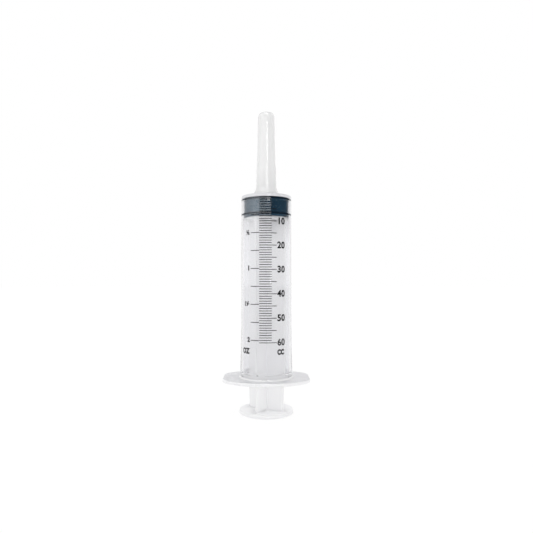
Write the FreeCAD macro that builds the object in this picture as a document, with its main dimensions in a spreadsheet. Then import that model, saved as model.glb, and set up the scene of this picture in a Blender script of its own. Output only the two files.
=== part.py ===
import FreeCAD, Part
import os
import Sketcher

# Catheter tip syringe for 60 ml, standing on its thumb rest with the capped tip up.
# Millimetres. The origin is the middle of the thumb rest's underside and +Z points to the tip.
# The front of the scale faces -Y.

# Driving sizes: name, value, meaning
SIZES = [
    ("bore_diameter", 29.3, "inside width of the barrel, which sets the spacing of the scale"),
    ("barrel_wall", 1.35, "wall of the barrel tube"),
    ("barrel_length", 116.9, "underside of the finger flange to the shoulder"),
    ("end_wall", 1.4, "wall at the shoulder end of the bore"),
    ("shoulder_round", 0.8, "outer corner of the shoulder, in three short flats"),
    ("bore_end_bevel", 0.4, "inner corner at the end of the bore"),
    ("foot_flare", 0.6, "how far the tube swells at the flange"),
    ("foot_flare_length", 22.5, "height of the swelling above the flange"),
    ("foot_bevel", 0.7, "inner corner between tube and flange"),
    ("flange_width", 54.6, "finger flange, across both grips"),
    ("flange_depth", 45.0, "finger flange, front to back"),
    ("flange_thickness", 2.2, "finger flange"),
    ("flange_end_depth", 19.8, "straight ends of the flange, before rounding"),
    ("flange_corner_radius", 8.0, "corners of the flange"),
    ("flange_rim_bevel", 0.6, "eased rim of the flange"),
    ("mouth_flare", 0.7, "how far the mouth of the bore opens"),
    ("mouth_flare_length", 2.6, "height of the opening mouth"),
    ("ridge_height", 4.6, "middle of the stop ridge above the mouth"),
    ("ridge_depth", 0.3, "how far the stop ridge stands into the bore"),
    ("ridge_crest", 0.5, "flat top of the stop ridge"),
    ("ridge_width", 1.8, "foot of the stop ridge"),
    ("tip_length", 44.0, "catheter tip above the shoulder"),
    ("tip_collar_diameter", 10.6, "catheter tip at the shoulder"),
    ("tip_collar_length", 7.0, "gently tapered collar that the cap grips"),
    ("tip_end_diameter", 6.4, "catheter tip at its end"),
    ("tip_nose_bevel", 0.5, "eased end of the catheter tip"),
    ("tip_root_bevel", 0.5, "corner between tip and shoulder"),
    ("lumen_root_diameter", 5.6, "channel through the tip, at the bore"),
    ("lumen_end_diameter", 3.2, "channel through the tip, at its end"),
    ("thumb_rest_diameter", 34.4, "thumb rest of the plunger"),
    ("thumb_rest_thickness", 2.4, "thumb rest of the plunger"),
    ("thumb_rest_bevel", 0.6, "eased rim of the thumb rest"),
    ("rod_length", 123.35, "underside of the thumb rest to the top of the carrier disc"),
    ("rib_span", 26.9, "plunger ribs, tip to tip"),
    ("rib_foot_span", 23.8, "plunger ribs at the thumb rest"),
    ("rib_taper_length", 33.0, "height over which the ribs widen"),
    ("rib_thickness", 1.6, "plunger ribs"),
    ("rib_root_round", 0.8, "inner corners where the ribs cross"),
    ("rod_turn", -30.0, "turn of the ribs about the axis, in degrees"),
    ("carrier_diameter", 27.6, "carrier disc under the stopper"),
    ("carrier_thickness", 1.5, "carrier disc under the stopper"),
    ("carrier_bevel", 0.4, "bevelled upper rim of the carrier disc"),
    ("neck_diameter", 11.0, "neck of the snap head"),
    ("neck_length", 2.4, "neck of the snap head"),
    ("head_diameter", 17.0, "snap head"),
    ("head_thickness", 2.4, "straight side of the snap head"),
    ("head_cone_length", 2.6, "pointed top of the snap head"),
    ("head_top_diameter", 9.0, "flat top of the snap head"),
    ("head_clearance", 0.05, "gap around the snap head in its socket"),
    ("stopper_length", 12.1, "rubber stopper"),
    ("stopper_clearance", 0.03, "gap between the sealing ribs and the bore"),
    ("waist_diameter", 28.4, "stopper between its sealing ribs"),
    ("seal_width", 1.8, "height of a sealing rib at its foot"),
    ("seal_crest", 0.8, "height of a sealing rib at its crest"),
    ("crown_diameter", 28.2, "flat top of the stopper"),
    ("skirt_length", 1.0, "stopper below its lower sealing rib"),
    ("skirt_diameter", 28.8, "stopper at its open end"),
    ("crown_gap", 0.4, "room between the stopper and the end of the bore"),
    ("cap_length", 54.2, "tip cap from its lip to its closed end"),
    ("cap_seat_gap", 0.3, "room between the cap's lip and the shoulder"),
    ("cap_lip_diameter", 15.8, "flared lip of the cap"),
    ("cap_lip_height", 1.9, "straight side of the lip"),
    ("cap_flare_height", 4.9, "lip and flare together"),
    ("cap_skirt_diameter", 13.05, "cap just above its flare"),
    ("cap_step_height", 18.6, "middle of the small step above the lip"),
    ("cap_step_length", 2.4, "height of the small step"),
    ("cap_step_low_diameter", 12.55, "cap just below the step"),
    ("cap_step_high_diameter", 12.0, "cap just above the step"),
    ("cap_end_diameter", 10.5, "cap at its closed end, before rounding"),
    ("cap_end_round", 3.0, "rounded closed end, in three short flats"),
    ("cap_end_wall", 2.2, "wall at the closed end"),
    ("cap_bore_end_diameter", 8.5, "inside of the cap at its closed end"),
    ("cap_bore_end_bevel", 1.4, "inner corner at the closed end"),
    ("cap_fit_clearance", 0.03, "gap between the cap and the tip's collar"),
    ("cap_mouth_bevel", 0.4, "lead-in at the cap's mouth"),
    ("zero_below_crown", 0.7, "zero line below the top of the seated stopper"),
    ("line_width", 0.42, "printed lines"),
    ("ink_thickness", 0.06, "printed lines"),
    ("ink_gap", 0.02, "room between print and barrel"),
    ("ml_line_left", -15.6, "left end of the millilitre lines, in degrees from the front"),
    ("ml_line_short_right", 11.9, "right end of the single lines, in degrees from the front"),
    ("ml_line_long_right", 23.2, "right end of every fifth line, in degrees from the front"),
    ("oz_line_left", -36.4, "left end of the ounce lines, in degrees from the front"),
    ("oz_line_right", -16.1, "right end of the ounce lines, in degrees from the front"),
]

LAST_MILLILITRE = 60
LONG_LINE_EVERY = 5
LAST_QUARTER_OUNCE = 8
ML_PER_OUNCE = 29.5735
MM3_PER_ML = 1000
FRONT_ANGLE = -90
HALF_TURN = 180
PRINT_SIDES = 34
ROUND_STEPS = (0, 30, 60, 90)
MATCH = 1e-4

doc = FreeCAD.newDocument("catheter_tip_syringe")
sheet = doc.addObject("Spreadsheet::Sheet", "Sizes")
for row, (alias, value, meaning) in enumerate(SIZES, start=1):
    sheet.set(f"A{row}", meaning)
    sheet.set(f"B{row}", str(value))
    sheet.setAlias(f"B{row}", alias)
doc.recompute()

# Sizes that follow from the driving ones, as formulas
BORE_RADIUS = "Sizes.bore_diameter / 2"
OUTER_RADIUS = "(Sizes.bore_diameter / 2 + Sizes.barrel_wall)"
FOOT_RADIUS = f"({OUTER_RADIUS} + Sizes.foot_flare)"
BORE_END = "(Sizes.barrel_length - Sizes.end_wall)"
TIP_END = "(Sizes.barrel_length + Sizes.tip_length)"
STOPPER_BASE = "(Sizes.rod_length + Sizes.head_clearance)"
SHOULDER = f"({STOPPER_BASE} + Sizes.stopper_length + Sizes.crown_gap + Sizes.end_wall)"
BARREL_BASE = f"({SHOULDER} - Sizes.barrel_length)"
CAP_BASE = f"({SHOULDER} + Sizes.cap_seat_gap)"
CAP_BORE_END = "(Sizes.cap_length - Sizes.cap_end_wall)"
CAP_MOUTH_RADIUS = "(Sizes.tip_collar_diameter / 2 + Sizes.cap_fit_clearance)"
CAP_BORE_SLOPE = f"(({CAP_MOUTH_RADIUS} - Sizes.cap_bore_end_diameter / 2) / {CAP_BORE_END})"
COLLAR_TOP_RADIUS = (
    f"(Sizes.tip_collar_diameter / 2 - {CAP_BORE_SLOPE} * (Sizes.tip_collar_length - Sizes.cap_seat_gap))"
)
INK_RADIUS = f"({OUTER_RADIUS} + Sizes.ink_gap)"
ML_SPACING = f"({MM3_PER_ML} / (pi * ({BORE_RADIUS})^2))"
ZERO_LINE = f"({BORE_END} - Sizes.crown_gap - Sizes.zero_below_crown)"


def number(formula):
    """The present value of a formula."""
    return float(sheet.evalExpression(formula))


def place(item, height, turn="0"):
    """Put a finished piece at a height on the axis, turned about it."""
    spot = f"vector(0; 0; {height})"
    item.setExpression("Placement", f"placement({spot}; rotation(vector(0; 0; 1); {turn}))")


def new_body(label):
    body = doc.addObject("PartDesign::Body", label)
    body.Label = label
    return body


def new_sketch(body, name, role):
    """An empty sketch on one of the body's own origin planes."""
    sketch = body.newObject("Sketcher::SketchObject", name)
    plane = next(item for item in body.Origin.OriginFeatures if item.Role == role)
    sketch.AttachmentSupport = [(plane, "")]
    sketch.MapMode = "FlatFace"
    return sketch


def tie_point(sketch, geometry, point, across, up):
    """Hold one point of a sketch at two formulas, measured from the sketch's origin."""
    for kind, axis, formula in (("DistanceX", -2, across), ("DistanceY", -1, up)):
        if formula == "0":
            sketch.addConstraint(Sketcher.Constraint("PointOnObject", geometry, point, axis))
            continue
        index = sketch.addConstraint(
            Sketcher.Constraint(kind, -1, 1, geometry, point, number(formula))
        )
        sketch.setExpression(f"Constraints[{index}]", formula)


def straight_outline(sketch, corners):
    """Close straight sides through corners, each a pair of formulas."""
    points = [FreeCAD.Vector(number(across), number(up), 0) for across, up in corners]
    count = len(points)
    for index in range(count):
        following = (index + 1) % count
        sketch.addGeometry(Part.LineSegment(points[index], points[following]), False)
    for index in range(count):
        sketch.addConstraint(Sketcher.Constraint("Coincident", index, 2, (index + 1) % count, 1))
    for index, (across, up) in enumerate(corners):
        tie_point(sketch, index, 1, across, up)


def turned(body, kind, name, corners):
    """Revolve or groove a half section, given as radius and height, about the axis."""
    sketch = new_sketch(body, f"{name}_section", "XZ_Plane")
    straight_outline(sketch, corners)
    before = body.Tip
    feature = body.newObject(f"PartDesign::{kind}", name)
    feature.Profile = sketch
    feature.ReferenceAxis = (sketch, ["V_Axis"])
    feature.Angle = 360
    doc.recompute()
    if kind == "Groove" and feature.Shape.Volume >= before.Shape.Volume:
        raise RuntimeError(f"{name} cuts nothing")
    return feature


def dressed(body, kind, name, edges, size):
    """Fillet or chamfer edges, named by number, of the body's last feature."""
    if not edges:
        raise RuntimeError(f"{name} finds no edge")
    base = body.Tip
    feature = body.newObject(f"PartDesign::{kind}", name)
    feature.Base = (base, edges)
    feature.setExpression("Radius" if kind == "Fillet" else "Size", size)
    doc.recompute()
    return feature


def eased_corner(radius, height, size):
    """Section points that round a turned form's upper outer corner in short flats."""
    return [
        (f"{radius} - {size} * (1 - cos({turn}))", f"{height} - {size} * (1 - sin({turn}))")
        for turn in ROUND_STEPS
    ]


def edges_where(feature, test):
    """Names of the edges that pass a test."""
    numbered = enumerate(feature.Shape.Edges, start=1)
    return [f"Edge{index}" for index, edge in numbered if test(edge)]


def ring_edges(feature, rings):
    """Names of the round edges at the given pairs of radius and height."""
    wanted = [(number(radius), number(height)) for radius, height in rings]

    def is_wanted(edge):
        curve = edge.Curve
        if not isinstance(curve, Part.Circle):
            return False
        return any(
            abs(curve.Radius - radius) < MATCH and abs(curve.Center.z - height) < MATCH
            for radius, height in wanted
        )

    return edges_where(feature, is_wanted)


# Barrel: tube, shoulder and catheter tip in one turned form, with its foot at the origin
barrel = new_body("barrel")
turned(barrel, "Revolution", "tube_and_tip", [
    ("0", "0"),
    (FOOT_RADIUS, "0"),
    (FOOT_RADIUS, "Sizes.flange_thickness"),
    (OUTER_RADIUS, "Sizes.flange_thickness + Sizes.foot_flare_length"),
    *eased_corner(OUTER_RADIUS, "Sizes.barrel_length", "Sizes.shoulder_round"),
    ("Sizes.tip_collar_diameter / 2", "Sizes.barrel_length"),
    (COLLAR_TOP_RADIUS, "Sizes.barrel_length + Sizes.tip_collar_length"),
    ("Sizes.tip_end_diameter / 2", TIP_END),
    ("0", TIP_END),
])

# Finger flange: two long curved sides and two straight ends
flange_plan = new_sketch(barrel, "finger_flange_plan", "XY_Plane")
FLANGE_REACH = "Sizes.flange_width / 2"
FLANGE_END = "Sizes.flange_end_depth / 2"
SIDE_RISE = "((Sizes.flange_depth - Sizes.flange_end_depth) / 2)"
SIDE_RADIUS = f"((({FLANGE_REACH})^2 + {SIDE_RISE}^2) / (2 * {SIDE_RISE}))"
half_width = number(FLANGE_REACH)
half_end = number(FLANGE_END)
half_depth = number("Sizes.flange_depth / 2")
right_front = FreeCAD.Vector(half_width, -half_end, 0)
right_back = FreeCAD.Vector(half_width, half_end, 0)
left_back = FreeCAD.Vector(-half_width, half_end, 0)
left_front = FreeCAD.Vector(-half_width, -half_end, 0)
back_middle = FreeCAD.Vector(0, half_depth, 0)
front_middle = FreeCAD.Vector(0, -half_depth, 0)
RIGHT_END, BACK_SIDE, LEFT_END, FRONT_SIDE = range(4)
flange_plan.addGeometry(Part.LineSegment(right_front, right_back), False)
flange_plan.addGeometry(Part.Arc(right_back, back_middle, left_back), False)
flange_plan.addGeometry(Part.LineSegment(left_back, left_front), False)
flange_plan.addGeometry(Part.Arc(left_front, front_middle, right_front), False)
for joined in (
    (RIGHT_END, 2, BACK_SIDE, 1),
    (BACK_SIDE, 2, LEFT_END, 1),
    (LEFT_END, 2, FRONT_SIDE, 1),
    (FRONT_SIDE, 2, RIGHT_END, 1),
):
    flange_plan.addConstraint(Sketcher.Constraint("Coincident", *joined))
tie_point(flange_plan, RIGHT_END, 1, FLANGE_REACH, f"-{FLANGE_END}")
tie_point(flange_plan, RIGHT_END, 2, FLANGE_REACH, FLANGE_END)
tie_point(flange_plan, LEFT_END, 1, f"-{FLANGE_REACH}", FLANGE_END)
tie_point(flange_plan, LEFT_END, 2, f"-{FLANGE_REACH}", f"-{FLANGE_END}")
for side in (BACK_SIDE, FRONT_SIDE):
    index = flange_plan.addConstraint(Sketcher.Constraint("Radius", side, number(SIDE_RADIUS)))
    flange_plan.setExpression(f"Constraints[{index}]", SIDE_RADIUS)
flange = barrel.newObject("PartDesign::Pad", "finger_flange")
flange.Profile = flange_plan
flange.setExpression("Length", "Sizes.flange_thickness")
doc.recompute()


def is_flange_corner(edge):
    """An upright edge at the end of the flange."""
    box = edge.BoundBox
    upright = box.XLength < MATCH and box.YLength < MATCH
    return upright and abs(abs(box.Center.x) - half_width) < MATCH


corners = edges_where(flange, is_flange_corner)
flange_corners = dressed(barrel, "Fillet", "flange_corners", corners, "Sizes.flange_corner_radius")
flange_top = number("Sizes.flange_thickness")
tube_reach = number(FOOT_RADIUS)


def is_flange_rim(edge):
    """A level edge on the outline of the flange, above or below."""
    box = edge.BoundBox
    level = box.ZLength < MATCH
    on_face = abs(box.ZMin) < MATCH or abs(box.ZMin - flange_top) < MATCH
    middle = edge.valueAt((edge.FirstParameter + edge.LastParameter) / 2)
    return level and on_face and (middle.x ** 2 + middle.y ** 2) ** 0.5 > tube_reach + MATCH


rim = edges_where(flange_corners, is_flange_rim)
flange_rim = dressed(barrel, "Chamfer", "flange_rim", rim, "Sizes.flange_rim_bevel")
foot = ring_edges(flange_rim, [(FOOT_RADIUS, "Sizes.flange_thickness")])
flange_foot = dressed(barrel, "Chamfer", "flange_foot", foot, "Sizes.foot_bevel")
root = ring_edges(flange_foot, [("Sizes.tip_collar_diameter / 2", "Sizes.barrel_length")])
tip_root = dressed(barrel, "Chamfer", "tip_root", root, "Sizes.tip_root_bevel")
nose = ring_edges(tip_root, [("Sizes.tip_end_diameter / 2", TIP_END)])
dressed(barrel, "Chamfer", "tip_nose", nose, "Sizes.tip_nose_bevel")

# Bore with its opening mouth and stop ridge, running on into the channel of the tip
RIDGE_RADIUS = f"({BORE_RADIUS} - Sizes.ridge_depth)"
bore = turned(barrel, "Groove", "bore_and_lumen", [
    ("0", "0"),
    (f"{BORE_RADIUS} + Sizes.mouth_flare", "0"),
    (BORE_RADIUS, "Sizes.mouth_flare_length"),
    (BORE_RADIUS, "Sizes.ridge_height - Sizes.ridge_width / 2"),
    (RIDGE_RADIUS, "Sizes.ridge_height - Sizes.ridge_crest / 2"),
    (RIDGE_RADIUS, "Sizes.ridge_height + Sizes.ridge_crest / 2"),
    (BORE_RADIUS, "Sizes.ridge_height + Sizes.ridge_width / 2"),
    (BORE_RADIUS, BORE_END),
    ("Sizes.lumen_root_diameter / 2", BORE_END),
    ("Sizes.lumen_end_diameter / 2", TIP_END),
    ("0", TIP_END),
])
bore_end = ring_edges(bore, [(BORE_RADIUS, BORE_END)])
dressed(barrel, "Chamfer", "bore_end", bore_end, "Sizes.bore_end_bevel")
place(barrel, BARREL_BASE)

# Plunger rod: thumb rest, crossed ribs, carrier disc and snap head
plunger_rod = new_body("plunger_rod")
thumb_rest = turned(plunger_rod, "Revolution", "thumb_rest", [
    ("0", "0"),
    ("Sizes.thumb_rest_diameter / 2", "0"),
    ("Sizes.thumb_rest_diameter / 2", "Sizes.thumb_rest_thickness"),
    ("0", "Sizes.thumb_rest_thickness"),
])
rest_rim = ring_edges(thumb_rest, [
    ("Sizes.thumb_rest_diameter / 2", "0"),
    ("Sizes.thumb_rest_diameter / 2", "Sizes.thumb_rest_thickness"),
])
dressed(plunger_rod, "Chamfer", "thumb_rest_rim", rest_rim, "Sizes.thumb_rest_bevel")

CARRIER_BASE = "(Sizes.rod_length - Sizes.carrier_thickness)"
RIB_FULL = "(Sizes.thumb_rest_thickness + Sizes.rib_taper_length)"
rib_side = new_sketch(plunger_rod, "rib_side", "XZ_Plane")
straight_outline(rib_side, [
    ("-Sizes.rib_foot_span / 2", "Sizes.thumb_rest_thickness"),
    ("Sizes.rib_foot_span / 2", "Sizes.thumb_rest_thickness"),
    ("Sizes.rib_span / 2", RIB_FULL),
    ("Sizes.rib_span / 2", CARRIER_BASE),
    ("-Sizes.rib_span / 2", CARRIER_BASE),
    ("-Sizes.rib_span / 2", RIB_FULL),
])
rib = plunger_rod.newObject("PartDesign::Pad", "rib")
rib.Profile = rib_side
rib.SideType = "Symmetric"
rib.setExpression("Length", "Sizes.rib_thickness")
doc.recompute()
ribs = plunger_rod.newObject("PartDesign::PolarPattern", "crossed_ribs")
ribs.Originals = [rib]
upright_axis = next(item for item in plunger_rod.Origin.OriginFeatures if item.Role == "Z_Axis")
ribs.Axis = (upright_axis, [""])
ribs.Angle = 90
ribs.Occurrences = 2
plunger_rod.Tip = ribs
doc.recompute()
half_rib = number("Sizes.rib_thickness / 2")


def is_rib_root(edge):
    """A long upright edge where two ribs meet."""
    box = edge.BoundBox
    upright = box.XLength < MATCH and box.YLength < MATCH
    at_root = abs(abs(box.Center.x) - half_rib) < MATCH and abs(abs(box.Center.y) - half_rib) < MATCH
    return upright and at_root


roots = edges_where(ribs, is_rib_root)
dressed(plunger_rod, "Fillet", "rib_roots", roots, "Sizes.rib_root_round")

NECK_TOP = "(Sizes.rod_length + Sizes.neck_length)"
HEAD_SIDE_TOP = f"({NECK_TOP} + Sizes.head_thickness)"
HEAD_TOP = f"({HEAD_SIDE_TOP} + Sizes.head_cone_length)"
turned(plunger_rod, "Revolution", "carrier_and_snap_head", [
    ("0", CARRIER_BASE),
    ("Sizes.carrier_diameter / 2", CARRIER_BASE),
    ("Sizes.carrier_diameter / 2", "Sizes.rod_length - Sizes.carrier_bevel"),
    ("Sizes.carrier_diameter / 2 - Sizes.carrier_bevel", "Sizes.rod_length"),
    ("Sizes.neck_diameter / 2", "Sizes.rod_length"),
    ("Sizes.neck_diameter / 2", NECK_TOP),
    ("Sizes.head_diameter / 2", NECK_TOP),
    ("Sizes.head_diameter / 2", HEAD_SIDE_TOP),
    ("Sizes.head_top_diameter / 2", HEAD_TOP),
    ("0", HEAD_TOP),
])
place(plunger_rod, "0", "Sizes.rod_turn")

# Stopper: sealing ribs at both ends of a waist, with its open end at the origin
SEAL_RADIUS = f"({BORE_RADIUS} - Sizes.stopper_clearance)"
SEAL_FLANK = "((Sizes.seal_width - Sizes.seal_crest) / 2)"
UPPER_SEAL_FOOT = "(Sizes.stopper_length - Sizes.seal_width)"
stopper = new_body("stopper")
turned(stopper, "Revolution", "sealing_form", [
    ("0", "0"),
    ("Sizes.skirt_diameter / 2", "0"),
    ("Sizes.skirt_diameter / 2", "Sizes.skirt_length"),
    (SEAL_RADIUS, f"Sizes.skirt_length + {SEAL_FLANK}"),
    (SEAL_RADIUS, f"Sizes.skirt_length + {SEAL_FLANK} + Sizes.seal_crest"),
    ("Sizes.waist_diameter / 2", "Sizes.skirt_length + Sizes.seal_width"),
    ("Sizes.waist_diameter / 2", UPPER_SEAL_FOOT),
    (SEAL_RADIUS, f"{UPPER_SEAL_FOOT} + {SEAL_FLANK}"),
    (SEAL_RADIUS, f"Sizes.stopper_length - {SEAL_FLANK}"),
    ("Sizes.crown_diameter / 2", "Sizes.stopper_length"),
    ("0", "Sizes.stopper_length"),
])
SOCKET_NECK_RADIUS = "(Sizes.neck_diameter / 2 + Sizes.head_clearance)"
SOCKET_RADIUS = "(Sizes.head_diameter / 2 + Sizes.head_clearance)"
SOCKET_LEDGE = "(Sizes.neck_length - 2 * Sizes.head_clearance)"
SOCKET_SIDE_TOP = "(Sizes.neck_length + Sizes.head_thickness)"
SOCKET_TOP = f"({SOCKET_SIDE_TOP} + Sizes.head_cone_length)"
turned(stopper, "Groove", "snap_socket", [
    ("0", "0"),
    (SOCKET_NECK_RADIUS, "0"),
    (SOCKET_NECK_RADIUS, SOCKET_LEDGE),
    (SOCKET_RADIUS, SOCKET_LEDGE),
    (SOCKET_RADIUS, SOCKET_SIDE_TOP),
    ("Sizes.head_top_diameter / 2 + Sizes.head_clearance", SOCKET_TOP),
    ("0", SOCKET_TOP),
])
place(stopper, STOPPER_BASE)

# Tip cap: closed tapered tube with a small step and a flared lip, with its lip at the origin
tip_cap = new_body("tip_cap")
turned(tip_cap, "Revolution", "cap_form", [
    ("0", "0"),
    ("Sizes.cap_lip_diameter / 2", "0"),
    ("Sizes.cap_lip_diameter / 2", "Sizes.cap_lip_height"),
    ("Sizes.cap_skirt_diameter / 2", "Sizes.cap_flare_height"),
    ("Sizes.cap_step_low_diameter / 2", "Sizes.cap_step_height - Sizes.cap_step_length / 2"),
    ("Sizes.cap_step_high_diameter / 2", "Sizes.cap_step_height + Sizes.cap_step_length / 2"),
    *eased_corner("Sizes.cap_end_diameter / 2", "Sizes.cap_length", "Sizes.cap_end_round"),
    ("0", "Sizes.cap_length"),
])
cap_bore = turned(tip_cap, "Groove", "cap_bore", [
    ("0", "0"),
    (CAP_MOUTH_RADIUS, "0"),
    ("Sizes.cap_bore_end_diameter / 2", CAP_BORE_END),
    ("0", CAP_BORE_END),
])
cap_bore_edge = ring_edges(cap_bore, [("Sizes.cap_bore_end_diameter / 2", CAP_BORE_END)])
cap_hollow = dressed(tip_cap, "Chamfer", "cap_bore_end", cap_bore_edge, "Sizes.cap_bore_end_bevel")
cap_mouth = ring_edges(cap_hollow, [(CAP_MOUTH_RADIUS, "0"), ("Sizes.cap_lip_diameter / 2", "0")])
dressed(tip_cap, "Chamfer", "cap_mouth", cap_mouth, "Sizes.cap_mouth_bevel")
place(tip_cap, CAP_BASE)


def flat_sided(name, reach):
    """A tall many-sided prism about the axis, with its flats at a reach."""
    prism = doc.addObject("Part::Prism", name)
    prism.Polygon = PRINT_SIDES
    prism.setExpression("Circumradius", f"({reach}) / cos({HALF_TURN} / {PRINT_SIDES})")
    prism.setExpression("Height", "Sizes.barrel_length")
    return prism


def printed_lines(label, left, marks):
    """Raised ink in flats: wedges from a common left edge, kept inside a thin many-sided sleeve."""
    wedges = []
    for index, (drop, right) in enumerate(marks):
        wedge = doc.addObject("Part::Cylinder", f"{label}_{index}")
        wedge.setExpression("Radius", "Sizes.bore_diameter")
        wedge.setExpression("Height", "Sizes.line_width")
        wedge.setExpression("Angle", f"{right} - {left}")
        place(wedge, f"{ZERO_LINE} - {drop} * {ML_SPACING} - Sizes.line_width / 2")
        wedges.append(wedge)
    stack = doc.addObject("Part::Compound", f"{label}_stack")
    stack.Links = wedges
    sleeve = doc.addObject("Part::Cut", f"{label}_sleeve")
    sleeve.Base = flat_sided(f"{label}_outside", f"{INK_RADIUS} + Sizes.ink_thickness")
    sleeve.Tool = flat_sided(f"{label}_inside", INK_RADIUS)
    lines = doc.addObject("Part::Common", label)
    lines.Label = label
    lines.Base = stack
    lines.Tool = sleeve
    place(lines, BARREL_BASE, f"{FRONT_ANGLE} + {left}")
    return lines


ml_marks = []
for millilitre in range(LAST_MILLILITRE + 1):
    is_long = millilitre % LONG_LINE_EVERY == 0
    right_edge = "Sizes.ml_line_long_right" if is_long else "Sizes.ml_line_short_right"
    ml_marks.append((millilitre, right_edge))
ml_lines = printed_lines("ml_scale_lines", "Sizes.ml_line_left", ml_marks)

oz_marks = []
for quarter in range(1, LAST_QUARTER_OUNCE + 1):
    oz_marks.append((quarter * ML_PER_OUNCE / 4, "Sizes.oz_line_right"))
oz_lines = printed_lines("oz_scale_lines", "Sizes.oz_line_left", oz_marks)

doc.recompute()

# Every object has to be sound before anything is written
for item in doc.Objects:
    if "Invalid" in item.State or "Error" in item.State:
        raise RuntimeError(f"{item.Name} failed: {item.State}")

pieces = [barrel, plunger_rod, stopper, tip_cap, ml_lines, oz_lines]
for piece in pieces:
    if piece.Shape.isNull() or not piece.Shape.isValid():
        raise RuntimeError(f"{piece.Label} has no sound shape")

os.makedirs("parts", exist_ok=True)
for piece in pieces:
    piece.Shape.exportStep(f"parts/{piece.Label}.step")
    box = piece.Shape.optimalBoundingBox()
    print(
        f"{piece.Label}: {len(piece.Shape.Solids)} solids, {piece.Shape.Volume:.1f} mm3, "
        f"x {box.XMin:.2f} {box.XMax:.2f} y {box.YMin:.2f} {box.YMax:.2f} z {box.ZMin:.2f} {box.ZMax:.2f}"
    )
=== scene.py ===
# %% [markdown]
# # A catheter tip syringe in Blender
#
# This file dresses a large disposable syringe that stands on its thumb rest with its capped tip up.
# The real one has four moulded pieces: a clear barrel, a white plunger rod, a dark rubber stopper
# and a long white cap. A scale is printed on the barrel. Nearly every piece is a turned form, so
# the lesson is mostly about drawing half a section and spinning it about the axis.

# %% Loading the frame
import math

import bmesh
import bpy
from mathutils import Matrix, Vector


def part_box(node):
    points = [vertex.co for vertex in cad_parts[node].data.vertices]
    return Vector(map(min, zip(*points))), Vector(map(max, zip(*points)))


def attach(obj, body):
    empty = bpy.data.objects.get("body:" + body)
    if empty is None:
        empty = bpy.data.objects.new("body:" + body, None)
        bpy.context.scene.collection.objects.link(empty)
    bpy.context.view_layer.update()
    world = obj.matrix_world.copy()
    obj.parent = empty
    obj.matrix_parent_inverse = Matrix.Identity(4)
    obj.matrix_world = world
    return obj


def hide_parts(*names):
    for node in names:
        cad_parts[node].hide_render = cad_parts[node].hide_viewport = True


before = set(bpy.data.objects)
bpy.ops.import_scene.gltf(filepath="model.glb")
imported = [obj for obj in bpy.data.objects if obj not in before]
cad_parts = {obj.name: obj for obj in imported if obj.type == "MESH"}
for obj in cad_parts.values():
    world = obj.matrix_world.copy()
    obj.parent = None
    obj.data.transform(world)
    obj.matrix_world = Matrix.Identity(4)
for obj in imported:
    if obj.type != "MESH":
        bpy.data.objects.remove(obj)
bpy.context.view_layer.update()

# %% [markdown]
# ## Sizes
#
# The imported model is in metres, with +Z along the axis and the printed scale facing -Y. Each level
# below is read from the box of a node, so the dressed pieces stay where the solids are. What a box
# can't tell, such as the width of the bore, is written as a real size in millimetres.

# %% Levels and widths
MM = 0.001
barrel_low, barrel_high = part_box("barrel")
stopper_low, stopper_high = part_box("stopper")
rod_low, rod_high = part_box("plunger_rod")
cap_low, cap_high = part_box("tip_cap")

FLANGE_BASE = barrel_low.z
FLANGE_THICKNESS = 2.2 * MM
BARREL_LENGTH = 116.9 * MM
SHOULDER = FLANGE_BASE + BARREL_LENGTH
TIP_END = barrel_high.z
BORE_RADIUS = 14.65 * MM
TUBE_RADIUS = 16.0 * MM
FOOT_RADIUS = 16.6 * MM
FLANGE_HALF_WIDTH = barrel_high.x
FLANGE_HALF_DEPTH = barrel_high.y
AROUND = 160
print(f"shoulder at {SHOULDER / MM:.1f} mm, tip end at {TIP_END / MM:.1f} mm")

# %% [markdown]
# ## From half a section to a turned piece
#
# A lathe part is known by half of its section. The corners go in as a few vertices, each with the
# distance over which it is rounded. Bevelling those vertices turns sharp corners into arcs, and one
# full spin makes the solid. Vertices on the axis meet in a pole, so doubles are merged before the
# normals are worked out again. A weighted normal modifier keeps the flat faces flat to the eye.

# %% Turning helper
ON_AXIS = 1e-6
ROUND_SEGMENTS = 5


def rounded_section(corners, closed):
    """A wire in the XZ plane through corners given as radius, height and rounding."""
    wire = bmesh.new()
    points = [wire.verts.new((radius, 0, height)) for radius, height, _ in corners]
    for first, second in zip(points, points[1:]):
        wire.edges.new((first, second))
    if closed:
        wire.edges.new((points[-1], points[0]))
    for point, (_, _, rounding) in zip(points, corners):
        if rounding:
            bmesh.ops.bevel(
                wire, geom=[point], offset=rounding, offset_type="OFFSET",
                affect="VERTICES", segments=ROUND_SEGMENTS, profile=0.5, material=-1,
            )
    return wire


def turned(corners, closed=False):
    """Spin a rounded half section once about the Z axis into a closed solid."""
    solid = rounded_section(corners, closed)
    bmesh.ops.spin(
        solid, geom=solid.verts[:] + solid.edges[:], cent=(0, 0, 0), axis=(0, 0, 1),
        angle=math.tau, steps=AROUND, use_merge=True, use_duplicate=False,
    )
    bmesh.ops.remove_doubles(solid, verts=solid.verts[:], dist=ON_AXIS)
    bmesh.ops.recalc_face_normals(solid, faces=solid.faces[:])
    return solid


def as_object(name, solid):
    """Give a bmesh its own smooth-shaded object at the origin."""
    mesh = bpy.data.meshes.new(name)
    solid.to_mesh(mesh)
    solid.free()
    mesh.shade_smooth()
    piece = bpy.data.objects.new(name, mesh)
    bpy.context.scene.collection.objects.link(piece)
    return piece


def weigh_normals(piece):
    """Let large faces set the shading normals, as on a moulding with small rounds."""
    weighted = piece.modifiers.new("weighted normals", "WEIGHTED_NORMAL")
    weighted.weight = 100
    weighted.keep_sharp = True


print(f"a full turn has {AROUND} steps")

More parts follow.
